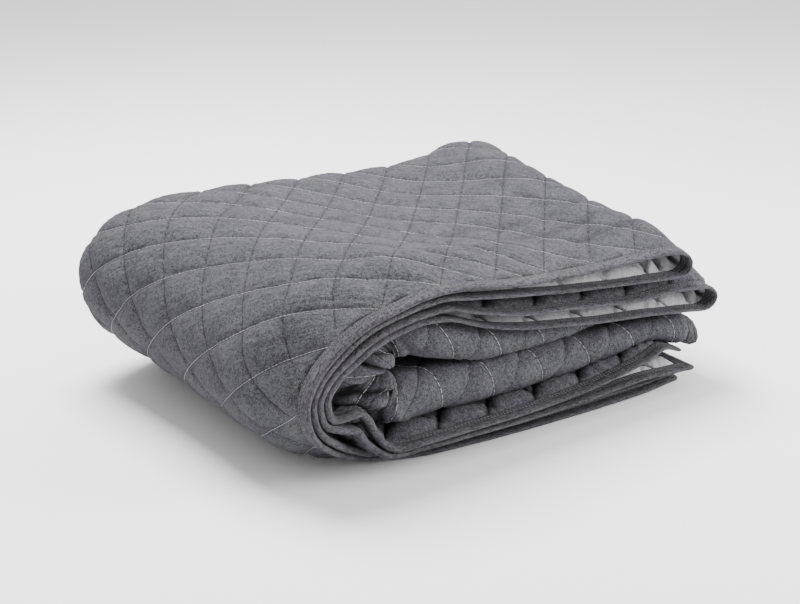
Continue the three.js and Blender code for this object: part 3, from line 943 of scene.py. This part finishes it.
def border_place(along, out):
    """u and v on the border grown outwards: the whole number is its side, the rest runs along it."""
    border = np.floor(along).astype(int) % 4
    share = along - np.floor(along)
    low = (U_MIN - out, -out)
    high = (U_MAX + out, PANEL_WIDTH + out)
    there = [lerp(low[k], high[k], share) for k in (0, 1)]
    back = [lerp(high[k], low[k], share) for k in (0, 1)]
    u = np.select([border == 0, border == 1, border == 2], [there[0], high[0], back[0]], low[0])
    v = np.select([border == 0, border == 1, border == 2], [low[1], there[1], high[1]], back[1])

    # Close to a corner the square outline is drawn in to a round one
    centre_u = np.clip(u, U_MIN - BINDING_WIDTH + CORNER_RADIUS, U_MAX + BINDING_WIDTH - CORNER_RADIUS)
    centre_v = np.clip(v, -BINDING_WIDTH + CORNER_RADIUS, PANEL_WIDTH + BINDING_WIDTH - CORNER_RADIUS)
    beyond_u, beyond_v = u - centre_u, v - centre_v
    square = np.maximum(np.abs(beyond_u), np.abs(beyond_v))
    drawn_in = square / np.maximum(np.hypot(beyond_u, beyond_v), 1e-9)
    return centre_u + beyond_u * drawn_in, centre_v + beyond_v * drawn_in


def stand_binding(along, out, share, side):
    """Real places on the binding: thin in the arms, and filling its room where the layers turn the bend."""
    u, v = border_place(along, out)
    middle = cloth_point(u, v, np.zeros_like(u))
    room = room_beside(u, v, middle, side)
    bend = smooth((BINDING_BEND["half"] - np.abs(stations(u, v) - MID_BEND)) / BINDING_BEND["fade"])
    half = np.where(room > FREE, BINDING_SKIN_HALF, lerp(BINDING_HALF, BINDING_BEND_HALF, bend))
    half = np.minimum(half, np.maximum(room - CLEARANCE, LEAST_ROOM))
    points = middle + normals(u, v) * (half * share * side)[:, None]
    points[:, 2] = np.maximum(points[:, 2], FLOOR_GAP)
    return points


def border_steps(step):
    """Places all round the border, evenly spaced on each side."""
    sides = [PANEL_LENGTH, PANEL_WIDTH, PANEL_LENGTH, PANEL_WIDTH]
    counts = [round(length / step) for length in sides]
    return np.concatenate([k + np.arange(count) / count for k, count in enumerate(counts)])


def bound_edge(material):
    """The strip sewn round the panel: a ring of its section, with a rounded edge and two stitched rows."""
    places = border_steps(BINDING_STEP)
    rows = len(places)
    columns = len(BINDING_SECTION)
    made = bmesh.new()
    bmesh.ops.create_grid(made, x_segments=rows, y_segments=columns, size=0.5)
    piece = mesh_object("binding_strip", made)
    mesh = piece.data
    grid = coordinates(mesh)
    row = np.round((grid[:, 0] + 0.5) * rows).astype(int)
    line = np.round((grid[:, 1] + 0.5) * columns).astype(int)
    keep_map(mesh, "flat", np.stack([row * BINDING_STEP, line * BINDING_MAP_STEP], axis=1))
    section = {name: np.array([point[name] for point in BINDING_SECTION]) for name in BINDING_SECTION[0]}
    out, share, side = (section[name][line % columns] for name in ("out", "share", "side"))
    set_coordinates(mesh, stand_binding(np.append(places, 4.0)[row] % 4, out, share, side))
    made = bmesh.new()
    made.from_mesh(mesh)
    bmesh.ops.remove_doubles(made, verts=made.verts, dist=1e-6)
    bmesh.ops.recalc_face_normals(made, faces=made.faces)
    made.to_mesh(mesh)
    made.free()
    mesh.materials.append(material)
    shade_smooth(mesh)
    return piece


def joined_stitches(name, starts, ends, out, materials, kinds=None):
    """One mesh of small rounded stitches, each lying from a start to an end with its top facing out."""
    made = bmesh.new()
    bmesh.ops.create_icosphere(made, subdivisions=1, radius=1)
    shape = np.array([vert.co[:] for vert in made.verts])
    faces = np.array([[vert.index for vert in face.verts] for face in made.faces])
    made.free()
    run = (ends - starts) / 2
    across = np.cross(run, out)
    across *= STITCH_RADIUS / np.linalg.norm(across, axis=1)[:, None]
    up = out * STITCH_RADIUS
    centre = (starts + ends) / 2
    parts = (shape[None, :, k, None] * way[:, None] for k, way in enumerate((run, across, up)))
    points = centre[:, None] + sum(parts)
    points[..., 2] = np.maximum(points[..., 2], FLOOR_GAP)
    corners = faces[None] + len(shape) * np.arange(len(centre))[:, None, None]
    mesh = bpy.data.meshes.new(name)
    mesh.from_pydata(points.reshape(-1, 3).tolist(), [], corners.reshape(-1, 3).tolist())
    for material in materials:
        mesh.materials.append(material)
    if kinds is not None:
        mesh.polygons.foreach_set("material_index", np.repeat(kinds, len(faces)).astype(np.int32))
    shade_smooth(mesh)
    return link_object(name, mesh)


def thread_shows(u, v):
    """True where the quilting thread can be seen: on the skin, the back fold and the front roll."""
    outer = u > THREAD_SHOWS["outer"]
    past_fold = LONG_PASS + math.pi * WIDE_FOLD
    skin = outer & (v < past_fold) & (u < ARM_LENGTH + BEND_LENGTH)
    roll = outer & (np.abs(v - ROLL_V) < THREAD_SHOWS["roll"])
    back_fold = outer & (v > LONG_PASS - THREAD_SHOWS["before_fold"]) & (v < past_fold)
    return (skin | roll | back_fold) & (from_border(u, v) > THREAD_SHOWS["edge"])


def quilting_thread(materials):
    """The quilting's stitches, where they show; those of the deep set get a darker copy of the thread, as
    painted shade of their creases.
    """
    count = round(LINE_SPACING / STITCH_STEP)
    half = STITCH_HALF_LENGTH / LINE_SPACING
    i, j = corner_numbers()
    starts, ends = [], []
    for whole, other, first in ((i, j, True), (j, i, False)):
        lines = np.arange(math.floor(whole.min()), math.ceil(whole.max()) + 1)
        along = np.arange(math.floor(other.min()), math.ceil(other.max()), 1 / count) + 0.5 / count
        line, step = (grid.ravel() for grid in np.meshgrid(lines, along))
        for tips, shift in ((starts, -half), (ends, half)):
            tips.append(flat_place(line, step + shift) if first else flat_place(step + shift, line))
    start, end = (np.concatenate(tips, axis=1) for tips in (starts, ends))
    shows = thread_shows(*((start + end) / 2))
    start, end = start[:, shows], end[:, shows]
    middle = (start + end) / 2
    out = normals(*middle)
    _, j = pattern_place(*middle)
    on_deep_line = np.abs(j - np.round(j)) < ON_LINE
    lift = out * np.where(on_deep_line, DEEP_LIFT, SHALLOW_LIFT)[:, None]
    face = np.ones_like(middle[0])
    stood = [stand_cloth(*tip, face) + lift for tip in (start, end)]
    return joined_stitches("quilting_thread", *stood, out, materials, on_deep_line)


def edge_stitching(material):
    """Two rows of stitches on each face of the binding."""
    places = border_steps(EDGE_STITCH_STEP)
    none = np.zeros_like(places)
    half = EDGE_STITCH_HALF_LENGTH / np.where(np.floor(places) % 2 == 0, PANEL_LENGTH, PANEL_WIDTH)
    starts, ends, outs = [], [], []
    for row in STITCH_ROWS:
        for side in (1, -1):
            there = (none + row, none + EDGE_STITCH_SHARE, none + side)
            starts.append(stand_binding(places % 4, *there))
            ends.append(stand_binding((places + 2 * half) % 4, *there))
            outs.append(normals(*border_place(places + half, none + row)) * side)
    starts, ends, outs = (np.concatenate(parts) for parts in (starts, ends, outs))
    return joined_stitches("edge_stitching", starts, ends, outs, [material])


def feed(tree, node, inputs):
    """Gives each named input its value, or links it to another node's output."""
    for name, given in inputs.items():
        if isinstance(given, bpy.types.NodeSocket):
            tree.links.new(given, node.inputs[name])
        else:
            node.inputs[name].default_value = given


def add_node(tree, kind, inputs, **settings):
    """The outputs of a new shader node, made with its settings and fed."""
    node = tree.nodes.new("ShaderNode" + kind)
    for name, setting in settings.items():
        setattr(node, name, setting)
    feed(tree, node, inputs)
    return node.outputs


def node_group(name, takes, gives):
    """A new node group with named inputs and outputs, what its inputs bring in, and its end node."""
    group = bpy.data.node_groups.new(name, "ShaderNodeTree")
    for way, sockets in (("INPUT", takes), ("OUTPUT", gives)):
        for socket, kind in sockets.items():
            group.interface.new_socket(socket, in_out=way, socket_type="NodeSocket" + kind)
    return group, group.nodes.new("NodeGroupInput").outputs, group.nodes.new("NodeGroupOutput")


def new_material(name, values):
    """A new material, its node tree and its shader with the values of its inputs."""
    material = bpy.data.materials.new(name)
    material.use_nodes = True
    shader = material.node_tree.nodes["Principled BSDF"]
    feed(material.node_tree, shader, values)
    return material, material.node_tree, shader


def paint(tone, share=1):
    """A colour as the shader takes it, at a share of its tone."""
    return (*(share * value for value in tone), 1)


def color_mix(tree, factor, a, b):
    """A mix of two colours."""
    return add_node(tree, "Mix", {"Factor": factor, MIX_A: a, MIX_B: b}, data_type="RGBA")[MIX_RESULT]


def melange_group():
    """Node group: a felted mix of lighter and darker fibres, as a colour and a height."""
    takes = {"Place": "Vector", "Light": "Color", "Dark": "Color", "Contrast": "Float"}
    group, given, result = node_group("melange", takes, {"Color": "Color", "Height": "Float"})
    fibres, clumps, clouds = (
        add_node(group, "TexNoise", {"Vector": given["Place"], **noise})["Fac"]
        for noise in (FIBRES, CLUMPS, CLOUDS)
    )
    felt = add_node(group, "Mix", {"Factor": CLUMP_SHARE, "A": fibres, "B": clumps})["Result"]
    mottled = add_node(group, "Mix", {"Factor": CLOUD_SHARE, "A": felt, "B": clouds})["Result"]
    centred = add_node(group, "Math", {0: mottled, 1: 0.5}, operation="SUBTRACT")["Value"]
    spread = {0: centred, 1: given["Contrast"], 2: 0.5}
    factor = add_node(group, "Math", spread, operation="MULTIPLY_ADD", use_clamp=True)["Value"]
    tint = color_mix(group, factor, given["Dark"], given["Light"])
    feed(group, result, {"Color": tint, "Height": felt})
    return group


def quilting_group():
    """Node group: a broken mask of painted shade on the quilting's deep lines, and the height of fine
    wrinkles.
    """
    gives = {"Seam Shade": "Float", "Wrinkles": "Float"}
    group, given, result = node_group("seam_shade_and_wrinkles", {"Numbers": "Vector"}, gives)

    def drawn_out(noise):
        """Noise on the quilting's numbers, drawn out along the first set of lines."""
        drawn = add_node(group, "Mapping", {"Vector": given["Numbers"], "Scale": noise["scale"]})["Vector"]
        return add_node(group, "TexNoise", {"Vector": drawn, "Scale": 1, "Detail": noise["detail"]})["Fac"]

    across = add_node(group, "SeparateXYZ", {"Vector": given["Numbers"]})["Y"]
    from_seam = add_node(group, "Math", {0: across, 1: 0.5}, operation="PINGPONG")["Value"]
    falling = {"Value": from_seam, "From Max": SEAM_REACH, "To Min": 1, "To Max": 0}
    near_seam = add_node(group, "MapRange", falling, interpolation_type="SMOOTHSTEP")["Result"]
    broken = add_node(group, "MapRange", {"Value": drawn_out(JAGS), **SEAM_JAGS})["Result"]
    seam_shade = add_node(group, "Math", {0: near_seam, 1: broken}, operation="MULTIPLY")["Value"]
    feed(group, result, {"Seam Shade": seam_shade, "Wrinkles": drawn_out(WRINKLES)})
    return group


def cloth_material(name, melange, mix, stretch=None, quilting=None):
    """A felted cloth: its melange, drawn out along a strip, and where quilted, painted shade on its seams and
    in its hollows, and wrinkles.
    """
    material, tree, shader = new_material(name, CLOTH_SURFACE)
    if stretch is None:
        where = add_node(tree, "TexCoord", {})["Object"]
    else:
        on_strip = add_node(tree, "UVMap", {}, uv_map="flat")["UV"]
        where = add_node(tree, "Mapping", {"Vector": on_strip, "Scale": stretch})["Vector"]
    tones = {"Light": paint(mix["light"]), "Dark": paint(mix["dark"]), "Contrast": mix["contrast"]}
    felt = add_node(tree, "Group", {"Place": where, **tones}, node_tree=melange)
    color = felt["Color"]
    nap = {"Height": felt["Height"], **FIBRE_BUMP}
    if quilting is not None:
        numbers = add_node(tree, "UVMap", {}, uv_map="quilting")["UV"]
        marks = add_node(tree, "Group", {"Numbers": numbers}, node_tree=quilting)
        # Painted shade: the colour is darkened along the deep seams
        painted_seam_shade = add_node(tree, "Math", {0: marks["Seam Shade"], 1: SEAM_SHADE_STRENGTH}, operation="MULTIPLY")["Value"]
        color = color_mix(tree, painted_seam_shade, color, paint(mix["dark"], SEAM_SHADE_TONE))
        # Painted shade: the colour is darkened in creases, notches and seams
        hollow_shade = add_node(tree, "Attribute", {}, attribute_name="hollow_shade")["Fac"]
        color = color_mix(tree, hollow_shade, color, paint(mix["dark"], HOLLOW_SHADE_TONE))
        nap["Normal"] = add_node(tree, "Bump", {"Height": marks["Wrinkles"], **WRINKLE_BUMP})["Normal"]
    feed(tree, shader, {"Base Color": color, "Normal": add_node(tree, "Bump", nap)["Normal"]})
    return material


def thread_material(name, mix):
    """Spun thread: a fine twist of two close tones."""
    material, tree, shader = new_material(name, THREAD_SURFACE)
    in_space = add_node(tree, "TexCoord", {})["Object"]
    twist = add_node(tree, "TexNoise", {"Vector": in_space, "Scale": THREAD_TWIST})["Fac"]
    feed(tree, shader, {"Base Color": color_mix(tree, twist, paint(mix["dark"]), paint(mix["light"]))})
    return material


def camera():
    """The camera at the photograph's angle, as fitted to the quilting lines."""
    data = bpy.data.cameras.new("camera")
    data.sensor_width = CAMERA_SENSOR
    data.lens = CAMERA_LENS
    eye = link_object("camera", data)
    eye.location = CAMERA_PLACE
    eye.rotation_euler = (math.radians(CAMERA_TILT), 0, math.radians(CAMERA_TURN))
    bpy.context.scene.camera = eye


def soft_surround():
    """Soft light from all round, stronger from the right; seen directly, it is one plain tone."""
    world = bpy.data.worlds.new("studio")
    world.use_nodes = True
    tree = world.node_tree
    direction = add_node(tree, "TexCoord", {})["Generated"]
    toward = add_node(tree, "VectorMath", {0: direction, 1: BRIGHT_SIDE}, operation="DOT_PRODUCT")["Value"]
    span = {"From Min": -1, "To Min": WORLD_LIGHT["left"], "To Max": WORLD_LIGHT["right"]}
    light = add_node(tree, "MapRange", {"Value": toward, **span})["Result"]
    seen = add_node(tree, "LightPath", {})["Is Camera Ray"]
    strength = add_node(tree, "Mix", {"Factor": seen, "A": light, "B": WORLD_LIGHT["seen"]})["Result"]
    feed(tree, tree.nodes["Background"], {"Color": paint(WHITE), "Strength": strength})
    return world


def studio():
    """A plain pale floor and soft light."""
    made = bmesh.new()
    bmesh.ops.create_grid(made, x_segments=1, y_segments=1, size=FLOOR_SIZE)
    floor = mesh_object("floor", made)
    pale = {"Base Color": paint(WHITE, FLOOR_TONE), "Roughness": FLOOR_ROUGHNESS}
    floor.data.materials.append(new_material("pale_floor", pale)[0])
    bpy.context.scene.world = soft_surround()
    for row in LAMPS:
        data = bpy.data.lights.new(row["name"], "AREA")
        data.energy = row["power"]
        data.size = row["size"]
        lamp = link_object(row["name"], data)
        lamp.location = row["place"]
        lamp.rotation_euler = (LAMP_TARGET - Vector(row["place"])).to_track_quat("-Z", "Y").to_euler()


camera()
studio()
melange = melange_group()
marks = quilting_group()
face = cloth_material("face", melange, FACE_MIX, quilting=marks)
reverse = cloth_material("reverse", melange, REVERSE_MIX, quilting=marks)
strip = cloth_material("binding", melange, STRIP_MIX, stretch=STRIP_STRETCH)
cloth = quilted_cloth(face, reverse)
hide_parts("quilt_panel")
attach(cloth, "root")
edge = bound_edge(strip)
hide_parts("binding")
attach(edge, "root")
light_thread = thread_material("light_thread", LIGHT_THREAD)
# The deep lines' thread is darker as painted shade of their creases
shaded_thread = thread_material("shaded_thread", SHADED_THREAD)
thread = quilting_thread([light_thread, shaded_thread])
# The edge stitches' thread is darkened as painted shade
edge_rows = edge_stitching(thread_material("shaded_edge_thread", SHADED_EDGE_THREAD))
for stitches in (thread, edge_rows):
    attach(stitches, "root")
